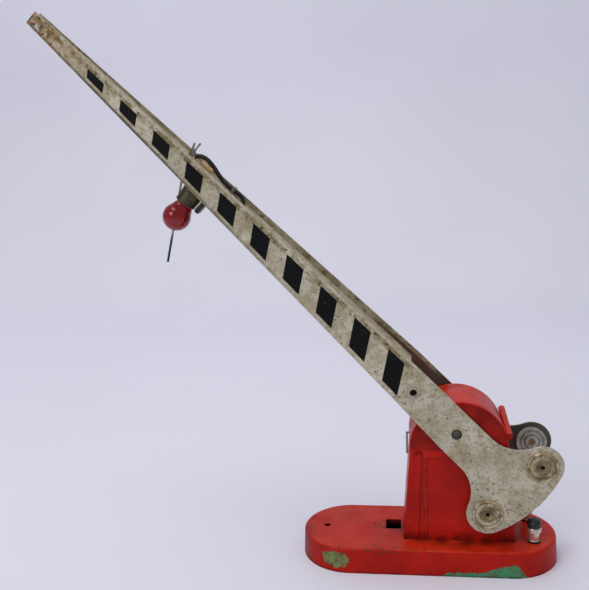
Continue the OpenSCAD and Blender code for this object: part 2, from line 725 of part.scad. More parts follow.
module thumb_nut(side) color("black") translate([post_x, side * post_y, 0]) difference() {
    rotate_extrude() {
        polygon([[0, 17], [2.75, 17], [2.75, 19.1], [2.35, 19.8], [1.2, 20.1], [0, 20.1]]);
    }
    translate([0, 0, 16]) cylinder(r = stud_r + fit, h = 3.7);
    for (a = [0 : 30 : 330]) rotate([0, 0, a]) translate([2.85, 0, 16]) cylinder(r = 0.25, h = 3.2, $fn = 16);
}

module near_thumb_nut() thumb_nut(-1);
module far_thumb_nut() thumb_nut(1);

module coil_leads() color("darkred") {
    tube(near_lead, lead_r);
    tube(far_lead, lead_r);
}

base_casting();
bottom_plate();
bottom_screws();
tower_casing();
casing_screws();
dome_cap();
front_wire_staple();
rear_buffer_bar();
solenoid_frame();
solenoid_screws();
coil_bobbin();
coil_winding();
core_stop();
plunger();
pivot_axle();
axle_collars();
side_washers();
crank();
crank_pin();
near_arm_plate();
far_arm_plate();
arm_web();
cross_tube();
near_upper_weight();
near_lower_weight();
far_upper_weight();
far_lower_weight();
weight_washers();
weight_rivets();
lamp_bracket();
bracket_insulator();
bracket_rivet();
lamp_socket();
socket_insulator();
centre_contact();
bulb_base();
bulb_glass();
bulb_filament();
web_insulator();
lamp_terminal();
lamp_lead();
lead_strap();
lead_lug();
rod_pin();
drop_rod();
post_washers();
binding_studs();
stud_bushes();
stud_collars();
stud_nuts();
near_thumb_nut();
far_thumb_nut();
coil_leads();
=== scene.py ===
"""Looks of the toy level-crossing gate: stage, camera, light, finishes and finely made pieces."""

import json
import math

import bmesh
import bpy
from mathutils import Matrix, Vector


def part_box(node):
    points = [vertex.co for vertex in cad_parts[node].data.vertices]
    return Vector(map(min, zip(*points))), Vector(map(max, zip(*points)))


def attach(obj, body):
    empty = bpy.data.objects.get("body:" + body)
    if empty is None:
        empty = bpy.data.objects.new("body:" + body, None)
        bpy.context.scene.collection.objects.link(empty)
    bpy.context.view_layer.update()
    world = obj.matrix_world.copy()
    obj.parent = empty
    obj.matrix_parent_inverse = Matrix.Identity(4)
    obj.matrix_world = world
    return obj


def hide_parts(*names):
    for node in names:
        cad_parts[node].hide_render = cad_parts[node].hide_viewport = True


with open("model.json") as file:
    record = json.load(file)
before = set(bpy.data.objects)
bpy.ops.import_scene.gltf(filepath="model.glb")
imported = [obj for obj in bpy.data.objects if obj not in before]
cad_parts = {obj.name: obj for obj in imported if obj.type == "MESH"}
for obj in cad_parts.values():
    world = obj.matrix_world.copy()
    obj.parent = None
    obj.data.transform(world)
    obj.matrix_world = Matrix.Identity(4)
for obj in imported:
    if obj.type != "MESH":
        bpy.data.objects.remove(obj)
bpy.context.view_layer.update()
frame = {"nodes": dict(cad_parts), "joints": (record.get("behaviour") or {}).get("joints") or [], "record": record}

MM = 0.001

# ---------- the boom's own directions, from the frame ----------

JOINTS = {joint["name"]: joint for joint in frame["joints"]}
GATE_SWING = JOINTS["gate_swing"]
PIVOT = Vector(GATE_SWING["pos_m"])
RAISE = math.radians(-GATE_SWING["range_deg"][0])
ALONG = Vector((-math.cos(RAISE), 0, math.sin(RAISE)))
UPPER = Vector((math.sin(RAISE), 0, math.cos(RAISE)))

# the boom's plan and edges in millimetres from the axle: they taper from the bend to the tip,
# so each pair holds the value at the bend and the value at the tip
BEND_U = 27
TIP_U = 237.7
HALF_WIDTH = (14.4, 2.7)
UPPER_EDGE = (8.5, 1.9)
LOWER_EDGE = (-7.5, -3.8)
PLATE = 0.8
EAR_U = -32.4
EAR_W = 14.6


def taper(pair, u):
    """The value at u of something that runs straight from the bend to the tip."""
    share = max(0.0, (u - BEND_U) / (TIP_U - BEND_U))
    return pair[0] + (pair[1] - pair[0]) * share


def boom_point(u, w, y):
    """A point of the boom's own frame, in millimetres, as a place in the row frame."""
    return PIVOT + (ALONG * u + UPPER * w + Vector((0, y, 0))) * MM


def srgb(red, green, blue):
    """A colour given as 0 to 255 on the screen, as linear light."""
    parts = []
    for value in (red, green, blue):
        part = value / 255
        parts.append(part / 12.92 if part <= 0.04045 else ((part + 0.055) / 1.055) ** 2.4)
    return (*parts, 1)


# ---------- materials ----------

# places of a mix node's colour sockets
MIX_FIRST = 6
MIX_SECOND = 7
MIX_RESULT = 2


class Finish:
    """One material built in small steps. Its lengths are millimetres in the row frame."""

    def __init__(self, name):
        self.material = bpy.data.materials.new(name)
        self.material.use_nodes = True
        self.tree = self.material.node_tree
        self.tree.nodes.clear()
        self.shader = self.add("ShaderNodeBsdfPrincipled")
        output = self.add("ShaderNodeOutputMaterial")
        self.tree.links.new(self.shader.outputs[0], output.inputs[0])
        self.place = self.add("ShaderNodeTexCoord").outputs["Object"]
        self.facing = self.add("ShaderNodeNewGeometry").outputs["Normal"]

    def add(self, kind, **settings):
        """A new node of that kind with those settings."""
        node = self.tree.nodes.new(kind)
        for key, value in settings.items():
            setattr(node, key, value)
        return node

    def feed(self, socket, value):
        """Link a socket to the value, or set it where the value is a plain number or colour."""
        if isinstance(value, bpy.types.NodeSocket):
            self.tree.links.new(value, socket)
        else:
            socket.default_value = value

    def math(self, how, first, second=0.0):
        node = self.add("ShaderNodeMath", operation=how)
        self.feed(node.inputs[0], first)
        self.feed(node.inputs[1], second)
        return node.outputs[0]

    def times(self, first, *others):
        """The product of the values."""
        for other in others:
            first = self.math("MULTIPLY", first, other)
        return first

    def either(self, first, *others):
        """The greatest of the values."""
        for other in others:
            first = self.math("MAXIMUM", first, other)
        return first

    def ramp(self, value, start, end):
        """0 at start and 1 at end, smooth between, held outside."""
        node = self.add("ShaderNodeMapRange", interpolation_type="SMOOTHSTEP")
        self.feed(node.inputs["Value"], value)
        node.inputs["From Min"].default_value = start
        node.inputs["From Max"].default_value = end
        return node.outputs[0]

    def noise(self, size, detail=3.0, rough=0.55, seed=0.0):
        """Clouds whose features are about size millimetres across."""
        node = self.add("ShaderNodeTexNoise", noise_dimensions="4D")
        self.tree.links.new(self.place, node.inputs["Vector"])
        node.inputs["W"].default_value = seed
        node.inputs["Scale"].default_value = 1 / (size * MM)
        node.inputs["Detail"].default_value = detail
        node.inputs["Roughness"].default_value = rough
        return node.outputs[0]

    def clouds(self, start, end, size, detail=3.0, rough=0.55, seed=0.0):
        """Noise turned into patches: 0 where it is at start or lower, 1 where it reaches end."""
        return self.ramp(self.noise(size, detail, rough, seed), start, end)

    def mix(self, amount, first, second):
        """The first colour where amount is 0 and the second where it is 1."""
        node = self.add("ShaderNodeMix", data_type="RGBA", clamp_factor=True)
        self.feed(node.inputs[0], amount)
        self.feed(node.inputs[MIX_FIRST], first)
        self.feed(node.inputs[MIX_SECOND], second)
        return node.outputs[MIX_RESULT]

    def along(self, direction, origin=(0, 0, 0)):
        """Millimetres from origin in that direction."""
        moved = self.add("ShaderNodeVectorMath", operation="SUBTRACT")
        self.tree.links.new(self.place, moved.inputs[0])
        moved.inputs[1].default_value = origin
        dot = self.add("ShaderNodeVectorMath", operation="DOT_PRODUCT")
        self.tree.links.new(moved.outputs[0], dot.inputs[0])
        dot.inputs[1].default_value = direction
        return self.math("DIVIDE", dot.outputs["Value"], MM)

    def facing_along(self, direction):
        """1 where the surface faces that way, -1 where it faces away."""
        dot = self.add("ShaderNodeVectorMath", operation="DOT_PRODUCT")
        self.tree.links.new(self.facing, dot.inputs[0])
        dot.inputs[1].default_value = direction
        return dot.outputs["Value"]

    def distance(self, first, first_at, second, second_at):
        """How far from a centre, in the plane of two measures."""
        a = self.math("SUBTRACT", first, first_at)
        b = self.math("SUBTRACT", second, second_at)
        total = self.math("ADD", self.times(a, a), self.times(b, b))
        return self.math("SQRT", total)

    def within(self, first, second, centre, half):
        """How far out in an ellipse: 0 at its centre and 1 on its line."""
        a = self.math("DIVIDE", first, half[0])
        b = self.math("DIVIDE", second, half[1])
        return self.distance(a, centre[0] / half[0], b, centre[1] / half[1])

    def corners(self, reach):
        """1 deep in a corner or seam, 0 in the open."""
        node = self.add("ShaderNodeAmbientOcclusion", samples=6, only_local=True)
        node.inputs["Distance"].default_value = reach * MM
        return self.ramp(node.outputs["AO"], 0.85, 0.3)

    def rounded(self, radius):
        """The surface's normal with its edges rounded off by that many millimetres."""
        node = self.add("ShaderNodeBevel", samples=6)
        node.inputs["Radius"].default_value = radius * MM
        return node.outputs["Normal"]

    def edges(self, radius):
        """1 along sharp edges, 0 on flats."""
        dot = self.add("ShaderNodeVectorMath", operation="DOT_PRODUCT")
        self.tree.links.new(self.rounded(radius), dot.inputs[0])
        self.tree.links.new(self.facing, dot.inputs[1])
        return self.ramp(dot.outputs["Value"], 0.97, 0.8)

    def bump(self, height, depth, radius=0.25):
        """Relief of that depth over softly rounded edges, fed to the shader."""
        node = self.add("ShaderNodeBump")
        node.inputs["Distance"].default_value = depth * MM
        self.feed(node.inputs["Height"], height)
        self.tree.links.new(self.rounded(radius), node.inputs["Normal"])
        self.tree.links.new(node.outputs[0], self.shader.inputs["Normal"])

    def surface(self, colour, roughness, metallic=0.0):
        """Feed the shader's main sockets."""
        self.feed(self.shader.inputs["Base Color"], colour)
        self.feed(self.shader.inputs["Roughness"], roughness)
        self.feed(self.shader.inputs["Metallic"], metallic)

    def between(self, amount, low, high):
        """A number that runs from low to high as amount goes from 0 to 1."""
        return self.math("ADD", self.times(amount, high - low), low)


def enamel_colour(f):
    """Old red enamel's colour, with dust and painted top light where it looks up, a painted highlight along its
    edges, and where painted shade and grime lie in its corners.
    """
    red = f.mix(f.clouds(0.35, 0.68, 17, 4), srgb(160, 20, 9), srgb(190, 29, 12))
    red = f.mix(f.times(f.clouds(0.55, 0.75, 2.6, 4, seed=3), 0.3), red, srgb(126, 16, 9))
    # dust and painted top light: lighter and more orange where the surface looks up
    dust_and_top_light = f.times(f.ramp(f.facing_along((0, 0, 1)), 0.35, 0.95), f.clouds(0.2, 0.75, 9, 5, seed=5))
    red = f.mix(f.times(dust_and_top_light, 0.55), red, srgb(212, 68, 34))
    # painted highlight: pale pink along sharp edges, broken up by clouds
    wear_and_highlight = f.times(f.edges(0.5), f.clouds(0.45, 0.6, 3, 4, seed=8))
    red = f.mix(f.times(wear_and_highlight, 0.5), red, srgb(216, 120, 96))
    # painted shade with grime: darker in corners and seams
    corner_shade_and_grime = f.times(f.corners(3), f.clouds(0.2, 0.6, 4, 3, seed=9))
    red = f.mix(f.times(corner_shade_and_grime, 0.8), red, srgb(52, 12, 10))
    specks = f.times(f.clouds(0.69, 0.74, 0.8, 2, seed=12), f.clouds(0.45, 0.6, 14, 2, seed=13))
    return f.mix(f.times(specks, 0.75), red, srgb(70, 26, 18)), corner_shade_and_grime


def enamel_surface(f, colour, corner_shade_and_grime, bare):
    """Finish a coat of enamel: rougher where painted shade and grime lie and where it is bare, and sunk where it
    is bare.
    """
    rough = f.between(f.clouds(0.3, 0.7, 6, 4, seed=15), 0.3, 0.46)
    rough = f.either(rough, f.times(corner_shade_and_grime, 0.8), f.times(bare, 0.7))
    f.surface(colour, rough)
    f.shader.inputs["Specular IOR Level"].default_value = 0.13
    relief = f.math("SUBTRACT", f.times(f.noise(1.7, 3, seed=16), 0.35), f.times(bare, 1.2))
    f.bump(relief, 0.16, radius=0.45)


def red_enamel():
    """The tower's enamel, dark at its foot, with painted shade on the dome's cheeks below the plates."""
    f = Finish("red_enamel_tower")
    colour, corner_shade_and_grime = enamel_colour(f)
    height = f.along((0, 0, 1))
    foot = f.times(f.ramp(height, 15.5, 10.6), f.clouds(0.3, 0.6, 5, 4, seed=21))
    colour = f.mix(f.times(foot, 0.8), colour, srgb(48, 12, 9))
    # painted shade on the dome's cheeks, below the crown's edge
    cheek_shade = f.ramp(f.math("ABSOLUTE", f.facing_along((0, 1, 0))), 0.8, 0.95)
    cheek_shade = f.times(cheek_shade, f.ramp(height, 49.6, 50.6), f.clouds(0.1, 0.6, 8, 3, seed=23))
    colour = f.mix(f.times(cheek_shade, 0.62), colour, srgb(62, 9, 6))
    chips = f.times(f.edges(0.35), f.clouds(0.62, 0.68, 1.6, 3, seed=22))
    colour = f.mix(chips, colour, srgb(60, 44, 36))
    enamel_surface(f, colour, f.either(corner_shade_and_grime, foot), chips)
    return f.material


# the bare patch near the base's left end: its centre and half its size, in x and z
LEFT_PATCH_AT = (-38, 5.3)
LEFT_PATCH_HALF = (5.6, 3.4)
# the base's slot, and its left end, where the paint is chipped, in x and y
SLOT_AT = (-14.4, 2.3)
SLOT_CHIPS_AT = (-19.5, 1)
# the painted shade round the tower's foot: an ellipse in x and y
FOOT_AT = (12.4, 0)
FOOT_HALF = (27, 16)


def base_enamel():
    """The base's enamel, with green underpaint bare in two places on its near side."""
    f = Finish("red_enamel_base")
    colour, corner_shade_and_grime = enamel_colour(f)
    x = f.along((1, 0, 0))
    z = f.along((0, 0, 1))
    y = f.along((0, 1, 0))
    side = f.ramp(f.facing_along((0, -1, 0)), 0.4, 0.7)
    ragged = f.math("SUBTRACT", f.noise(2.4, 5, 0.65, seed=31), 0.5)
    left = f.within(x, z, LEFT_PATCH_AT, LEFT_PATCH_HALF)
    left = f.ramp(f.math("ADD", left, f.times(ragged, 1.3)), 1.06, 0.96)
    low = f.times(f.ramp(x, 3, 9), f.ramp(x, 38.5, 36.5), 1.9)
    high = f.times(f.ramp(x, 19, 31), f.ramp(x, 38, 34.5), 3.1)
    below = f.math("SUBTRACT", f.math("ADD", low, high), z)
    long = f.ramp(f.math("ADD", below, f.times(ragged, -3.4)), -0.15, 0.2)
    long = f.times(long, f.ramp(x, 2.5, 4), f.ramp(x, 39, 38))
    bare = f.times(f.either(left, long), side)
    green = f.mix(f.ramp(x, -10, 10), srgb(120, 132, 84), srgb(66, 142, 104))
    green = f.mix(f.times(f.clouds(0.46, 0.6, 2.1, 5, 0.7, seed=33), 0.8), green, srgb(104, 86, 56))
    green = f.mix(f.clouds(0.6, 0.66, 1.1, 4, seed=34), green, srgb(58, 48, 36))
    colour = f.mix(bare, colour, green)
    rim = f.times(f.ramp(z, 8.3, 9.3), f.ramp(y, -15, -19))
    nicked = f.times(rim, f.ramp(x, -47, -38), f.ramp(x, 4, -5), f.clouds(0.55, 0.62, 1.9, 4, seed=35))
    strays = f.times(side, f.clouds(0.7, 0.73, 1.1, 3, seed=37))
    slot_rim = f.ramp(f.distance(x, SLOT_CHIPS_AT[0], y, SLOT_CHIPS_AT[1]), 5.2, 3.2)
    slot_chips = f.times(slot_rim, f.clouds(0.54, 0.6, 1.3, 3, seed=39), f.ramp(z, 9, 10))
    nicks = f.either(nicked, strays, slot_chips)
    colour = f.mix(f.times(nicks, 0.85), colour, srgb(74, 66, 50))
    # painted shade inside the slot
    slot_shade = f.times(f.ramp(f.distance(x, SLOT_AT[0], y, SLOT_AT[1]), 8, 6), f.ramp(z, 10.35, 9.9))
    colour = f.mix(f.times(slot_shade, 0.85), colour, srgb(38, 9, 7))
    around = f.within(x, y, FOOT_AT, FOOT_HALF)
    # painted shade on the base's top round the tower's foot
    shade = f.times(f.ramp(around, 1.15, 0.8), f.ramp(z, 9, 10.2), f.clouds(0.25, 0.65, 6, 4, seed=41))
    hem = f.times(f.ramp(z, 1.1, 0.3), f.clouds(0.35, 0.6, 7, 3, seed=43))
    left_end = f.times(f.ramp(x, -46, -51), f.clouds(0.3, 0.6, 4, 3, seed=44))
    # painted shade round the tower's foot, with darkening along the bottom and at the left end
    shade_and_darkening = f.either(f.times(shade, 0.75), f.times(hem, 0.7), f.times(left_end, 0.45))
    colour = f.mix(shade_and_darkening, colour, srgb(44, 14, 10))
    enamel_surface(f, colour, f.either(corner_shade_and_grime, f.times(shade, 0.6)), f.either(bare, nicks))
    return f.material


def boom_measures(f):
    """How far along and above the axle, how far from each edge, and the boom's half width there."""
    u = f.along(ALONG, PIVOT)
    w = f.along(UPPER, PIVOT)
    past = f.math("MAXIMUM", f.math("SUBTRACT", u, BEND_U), 0)
    length = TIP_U - BEND_U
    upper = f.math("ADD", f.times(past, (UPPER_EDGE[1] - UPPER_EDGE[0]) / length), UPPER_EDGE[0])
    lower = f.math("ADD", f.times(past, (LOWER_EDGE[1] - LOWER_EDGE[0]) / length), LOWER_EDGE[0])
    half = f.math("ADD", f.times(past, (HALF_WIDTH[1] - HALF_WIDTH[0]) / length), HALF_WIDTH[0])
    return u, w, f.math("SUBTRACT", upper, w), f.math("SUBTRACT", w, lower), half


def plate_silver(side):
    """Aluminium paint on one plate of the boom. side is -1 for the near one and 1 for the far one."""
    f = Finish("silver_paint_near" if side < 0 else "silver_paint_far")
    seed = 50 + 10 * side
    u, w, from_top, from_bottom, half = boom_measures(f)
    silver = f.mix(f.clouds(0.36, 0.64, 15, 4, seed=seed), srgb(202, 194, 174), srgb(180, 172, 148))
    olive = f.clouds(0.44, 0.62, 6, 6, 0.68, seed=seed + 1)
    silver = f.mix(f.times(olive, 0.75), silver, srgb(158, 146, 108))
    grain = f.clouds(0.5, 0.66, 1.3, 5, 0.7, seed=seed + 2)
    silver = f.mix(f.times(grain, 0.6), silver, srgb(128, 112, 78))
    near_top = f.times(f.ramp(from_top, 3.8, 2.2), f.ramp(from_top, 0.6, 1.4), f.ramp(u, 22, 34))
    rusty = f.times(near_top, f.clouds(0.4, 0.58, 3.2, 5, 0.66, seed=seed + 3))
    silver = f.mix(f.times(rusty, 0.8), silver, srgb(118, 100, 50))
    deep_rust = f.times(near_top, f.clouds(0.56, 0.66, 1.7, 4, seed=seed + 4))
    silver = f.mix(deep_rust, silver, srgb(76, 64, 32))
    # painted shade along the lower edge
    lower_edge_shade = f.times(f.ramp(from_bottom, 1.5, 0.6), f.ramp(u, 60, 180))
    lower_edge_shade = f.times(lower_edge_shade, f.clouds(0.25, 0.5, 4, 3, seed=seed + 5))
    silver = f.mix(f.times(lower_edge_shade, 0.85), silver, srgb(52, 48, 38))
    tip = f.times(f.ramp(u, 196, 234), f.clouds(0.34, 0.58, 3.4, 5, 0.66, seed=seed + 6))
    silver = f.mix(f.times(tip, 0.75), silver, srgb(146, 106, 46))
    tip_dark = f.times(f.ramp(u, 205, 235), f.clouds(0.54, 0.62, 1.9, 4, seed=seed + 7))
    silver = f.mix(tip_dark, silver, srgb(58, 40, 24))
    ear = f.distance(u, EAR_U, w, EAR_W)
    ring = f.times(f.ramp(ear, 7.5, 5.2), f.clouds(0.3, 0.6, 2.2, 4, seed=seed + 8))
    silver = f.mix(f.times(ring, 0.65), silver, srgb(142, 112, 56))
    low_ear = f.distance(u, EAR_U, w, -EAR_W)
    low_ring = f.times(f.ramp(low_ear, 6.6, 5), f.clouds(0.42, 0.65, 2.2, 4, seed=seed + 9))
    silver = f.mix(f.times(low_ring, 0.55), silver, srgb(124, 98, 54))
    pitted = f.ramp(f.distance(u, -39, w, -5), 7, 3)
    pits = f.times(f.clouds(0.57, 0.62, 1.1, 4, seed=seed + 11), f.either(pitted, 0.45))
    wide = f.clouds(0.62, 0.67, 1.5, 4, 0.6, seed=seed + 12)
    pits = f.either(pits, wide)
    silver = f.mix(f.times(pits, 0.75), silver, srgb(78, 62, 38))
    bare = f.times(f.edges(0.3), f.clouds(0.35, 0.5, 2.5, 3, seed=seed + 13))
    silver = f.mix(f.times(bare, 0.65), silver, srgb(206, 200, 186))
    depth = f.math("SUBTRACT", half, f.times(f.along((0, 1, 0)), side))
    inside = f.ramp(depth, PLATE * 0.6, PLATE * 0.95)
    dull = f.mix(f.clouds(0.35, 0.65, 6, 4, seed=seed + 14), srgb(186, 176, 152), srgb(150, 138, 108))
    dull = f.mix(f.clouds(0.5, 0.62, 2.2, 5, 0.68, seed=seed + 17), dull, srgb(112, 92, 58))
    dull = f.mix(f.times(f.ramp(u, 58, 40), f.ramp(from_top, 0.9, 2.2)), dull, srgb(92, 62, 50))
    # painted shade between the lobes, with tarnish: darker towards the axle on the inner faces
    dull = f.mix(f.ramp(u, 26, 12), dull, srgb(74, 72, 58))
    colour = f.mix(inside, silver, dull)
    rough = f.between(f.clouds(0.3, 0.7, 4, 4, seed=seed + 15), 0.42, 0.6)
    f.surface(colour, f.either(rough, f.times(pits, 0.85), f.times(rusty, 0.8)), 0.15)
    relief = f.math("SUBTRACT", f.times(f.noise(0.7, 3, seed=seed + 16), 0.3), f.either(pits, deep_rust))
    f.bump(relief, 0.1, radius=0.22)
    return f.material


def web_silver():
    """The web between the plates, stained more than the plates are."""
    f = Finish("silver_paint_web")
    silver = f.mix(f.clouds(0.36, 0.64, 11, 4, seed=71), srgb(188, 178, 152), srgb(158, 146, 114))
    silver = f.mix(f.clouds(0.52, 0.66, 2.2, 5, 0.66, seed=72), silver, srgb(104, 82, 48))
    silver = f.mix(f.clouds(0.64, 0.7, 0.9, 3, seed=73), silver, srgb(64, 52, 34))
    # painted shade in the corners where the web meets the plates
    silver = f.mix(f.times(f.corners(2.5), 0.8), silver, srgb(50, 44, 30))
    f.surface(silver, f.between(f.noise(3, 4, seed=74), 0.45, 0.75), 0.1)
    f.bump(f.noise(0.8, 3, seed=75), 0.08, radius=0.2)
    return f.material


def ring_zinc(name, light, dark, stained):
    """Turned discs: rings about each ear's centre, tan stains in them."""
    f = Finish(name)
    u = f.along(ALONG, PIVOT)
    w = f.math("ABSOLUTE", f.along(UPPER, PIVOT))
    away = f.distance(u, EAR_U, w, EAR_W)
    waver = f.math("ADD", away, f.times(f.noise(3, 3, seed=81), 0.5))
    rings = f.math("SINE", f.times(waver, 2 * math.pi / 1.9))
    tone = f.mix(f.clouds(0.35, 0.65, 3.5, 4, seed=82), srgb(*light), srgb(*dark))
    tone = f.mix(f.times(f.ramp(rings, -0.2, -0.9), 0.4), tone, srgb(104, 86, 54))
    stain = f.times(f.clouds(0.45, 0.6, 2.4, 5, 0.68, seed=83), stained)
    tone = f.mix(stain, tone, srgb(112, 86, 48))
    # painted shade in corners and seams
    tone = f.mix(f.times(f.corners(1.6), 0.85), tone, srgb(56, 44, 26))
    tone = f.mix(f.times(f.edges(0.3), 0.6), tone, srgb(222, 214, 194))
    f.surface(tone, f.between(f.noise(2, 3, seed=84), 0.3, 0.6), 0.55)
    f.bump(f.math("ADD", f.times(rings, 0.3), f.noise(0.8, 3, seed=85)), 0.1, radius=0.25)
    return f.material


def metal(name, light, dark, seed, roughness=(0.3, 0.5), metallic=0.85, stain=None, brushed=None):
    """Metal with tarnish, painted shade in its corners and rubbed edges. brushed is a grain's size in x, y and z.
    """
    f = Finish(name)
    tone = f.mix(f.clouds(0.34, 0.66, 4, 4, seed=seed), srgb(*light), srgb(*dark))
    if stain:
        spots = f.clouds(0.56, 0.68, 1.4, 4, seed=seed + 1)
        tone = f.mix(f.times(spots, 0.7), tone, srgb(*stain))
    # painted shade in corners and seams
    tone = f.mix(f.times(f.corners(1.5), 0.75), tone, srgb(30, 26, 20))
    rubbed = [min(255, part + 45) for part in light]
    tone = f.mix(f.times(f.edges(0.2), 0.5), tone, srgb(*rubbed))
    f.surface(tone, f.between(f.noise(1.8, 4, seed=seed + 2), *roughness), metallic)
    grain = f.noise(0.5, 3, seed=seed + 3)
    if brushed:
        scaled = f.add("ShaderNodeMapping")
        f.tree.links.new(f.place, scaled.inputs[0])
        scaled.inputs["Scale"].default_value = [1 / (size * MM) for size in brushed]
        streaks = f.add("ShaderNodeTexNoise")
        f.tree.links.new(scaled.outputs[0], streaks.inputs["Vector"])
        streaks.inputs["Scale"].default_value = 1
        grain = streaks.outputs[0]
    f.bump(grain, 0.04, radius=0.15)
    return f.material


def moulded(name, tone, wear_and_highlight, seed, roughness=(0.3, 0.5), grain=0.6):
    """Moulded or pressed stuff: a fine grain, paler along its edges, dusty in its corners."""
    f = Finish(name)
    colour = f.mix(f.clouds(0.35, 0.7, 3, 4, seed=seed), srgb(*tone), srgb(*wear_and_highlight))
    colour = f.mix(f.times(f.edges(0.25), f.noise(1.2, 3, seed=seed + 1)), colour, srgb(*wear_and_highlight))
    dust = f.times(f.corners(1.5), f.clouds(0.4, 0.7, 1.5, 3, seed=seed + 2))
    colour = f.mix(f.times(dust, 0.4), colour, srgb(96, 84, 66))
    f.surface(colour, f.between(f.noise(1.6, 4, seed=seed + 3), *roughness))
    f.bump(f.noise(grain, 3, seed=seed + 4), 0.05, radius=0.2)
    return f.material


def rod_steel():
    """The drop rod: grey steel, its lower end still in old green-black paint."""
    f = Finish("drop_rod_steel")
    low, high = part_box("drop_rod")
    above = f.math("SUBTRACT", f.along((0, 0, 1)), low.z / MM)
    share = f.math("DIVIDE", above, (high.z - low.z) / MM)
    ragged = f.math("ADD", share, f.times(f.math("SUBTRACT", f.noise(1.2, 4, seed=251), 0.5), 0.12))
    steel = f.mix(f.clouds(0.35, 0.65, 2.2, 4, seed=252), srgb(182, 180, 172), srgb(138, 135, 126))
    steel = f.mix(f.clouds(0.62, 0.7, 0.9, 4, seed=253), steel, srgb(96, 74, 50))
    colour = f.mix(f.ramp(ragged, 0.29, 0.22), steel, srgb(34, 58, 50))
    f.surface(colour, f.between(f.noise(1.2, 3, seed=254), 0.35, 0.55), 0.35)
    f.bump(f.noise(0.4, 3, seed=255), 0.03, radius=0.1)
    return f.material


def stripe_black():
    """Black stripe paint, dusty, with silver showing through in spots."""
    f = Finish("black_stripe_paint")
    black = f.mix(f.clouds(0.35, 0.7, 5, 4, seed=91), srgb(8, 9, 10), srgb(15, 18, 17))
    dust = f.times(f.clouds(0.6, 0.72, 0.9, 3, seed=92), 0.15)
    black = f.mix(dust, black, srgb(74, 74, 66))
    gone = f.clouds(0.71, 0.735, 1.2, 4, seed=93)
    black = f.mix(gone, black, srgb(140, 134, 112))
    f.surface(black, f.between(f.noise(2.4, 3, seed=94), 0.38, 0.6))
    f.shader.inputs["Specular IOR Level"].default_value = 0.12
    f.bump(f.noise(0.9, 3, seed=95), 0.05, radius=0.1)
    return f.material


def red_glass():
    """Deep red lacquered glass."""
    f = Finish("red_glass_bulb")
    tint = f.mix(f.clouds(0.35, 0.7, 4, 3, seed=96), srgb(178, 2, 8), srgb(146, 1, 5))
    tint = f.mix(f.times(f.clouds(0.62, 0.72, 0.9, 3, seed=97), 0.35), tint, srgb(110, 4, 8))
    f.surface(tint, f.between(f.noise(1.5, 3, seed=98), 0.04, 0.1))
    f.shader.inputs["Transmission Weight"].default_value = 0.5
    f.shader.inputs["IOR"].default_value = 1.5
    return f.material


def wound_copper():
    """Varnished wire, turn on turn about the coil's axis."""
    f = Finish("copper_wire_coil")
    turns = f.math("SINE", f.times(f.along((0, 0, 1)), 2 * math.pi / 0.55))
    tone = f.mix(f.clouds(0.35, 0.65, 4, 4, seed=101), srgb(168, 92, 52), srgb(132, 62, 34))
    tone = f.mix(f.ramp(turns, -0.2, -0.95), tone, srgb(62, 26, 14))
    f.surface(tone, f.between(f.noise(1.5, 3, seed=102), 0.28, 0.45), 0.7)
    f.bump(turns, 0.12, radius=0.1)
    return f.material


LOOKS = {
    "red_enamel": red_enamel(),
    "dark_steel": metal("dark_steel_dull", (70, 66, 58), (44, 40, 34), 110, (0.45, 0.7), 0.6,
                        (84, 56, 34)),
    "bright_steel": metal("bright_steel_dull", (168, 166, 158), (134, 130, 120), 120, (0.28, 0.48), 0.85,
                          (112, 92, 64), (0.3, 0.3, 6)),
    "nickel": metal("nickel_collar", (226, 220, 204), (188, 180, 158), 130, (0.16, 0.34), 0.8,
                    (150, 130, 96)),
    "brass": metal("brass_tarnished", (176, 142, 84), (128, 98, 52), 140, (0.28, 0.5), 0.85,
                   (84, 62, 34)),
    "olive_steel": metal("olive_steel_shell", (86, 82, 58), (54, 50, 34), 150, (0.34, 0.6), 0.6,
                         (92, 58, 34)),
    "black_plastic": moulded("black_plastic_worn", (9, 9, 10), (30, 29, 28), 160, (0.25, 0.5)),
    "fibre": moulded("pressed_fibre", (172, 134, 92), (140, 102, 66), 170, (0.6, 0.85), 0.4),
    "lead_sleeve": moulded("lead_sleeving", (24, 22, 22), (52, 47, 42), 180, (0.55, 0.8), 0.35),
    "copper_wire": wound_copper(),
    "red_glass": red_glass(),
    "aged_zinc": ring_zinc("aged_zinc_rings", (204, 194, 166), (164, 146, 104), 0.85),
    "silver_paint": web_silver(),
}
WEIGHTS = ring_zinc("weight_discs", (196, 198, 186), (150, 152, 140), 0.25)
OWN_LOOKS = {
    "base_casting": base_enamel(),
    "near_arm_plate": plate_silver(-1),
    "far_arm_plate": plate_silver(1),
    "lamp_bracket": metal("lamp_bracket_tab", (196, 188, 176), (160, 152, 138), 190, (0.35, 0.55), 0.5,
                          (120, 96, 66)),
    "drop_rod": rod_steel(),
    "weight_rivets": metal("rivet_stained", (158, 142, 104), (96, 82, 54), 210, (0.35, 0.6), 0.5,
                           (52, 40, 24)),
    "pivot_axle": metal("axle_oiled", (112, 106, 90), (62, 57, 48), 220, (0.4, 0.6), 0.5, (58, 42, 28)),
    "cross_tube": metal("tube_painted", (176, 168, 146), (132, 122, 96), 230, (0.4, 0.6), 0.4,
                        (70, 56, 36)),
    "near_upper_weight": WEIGHTS,
    "near_lower_weight": WEIGHTS,
    "far_upper_weight": WEIGHTS,
    "far_lower_weight": WEIGHTS,
    "web_insulator": moulded("fibre_sleeve", (206, 180, 138), (168, 136, 92), 240, (0.6, 0.85), 0.4),
}


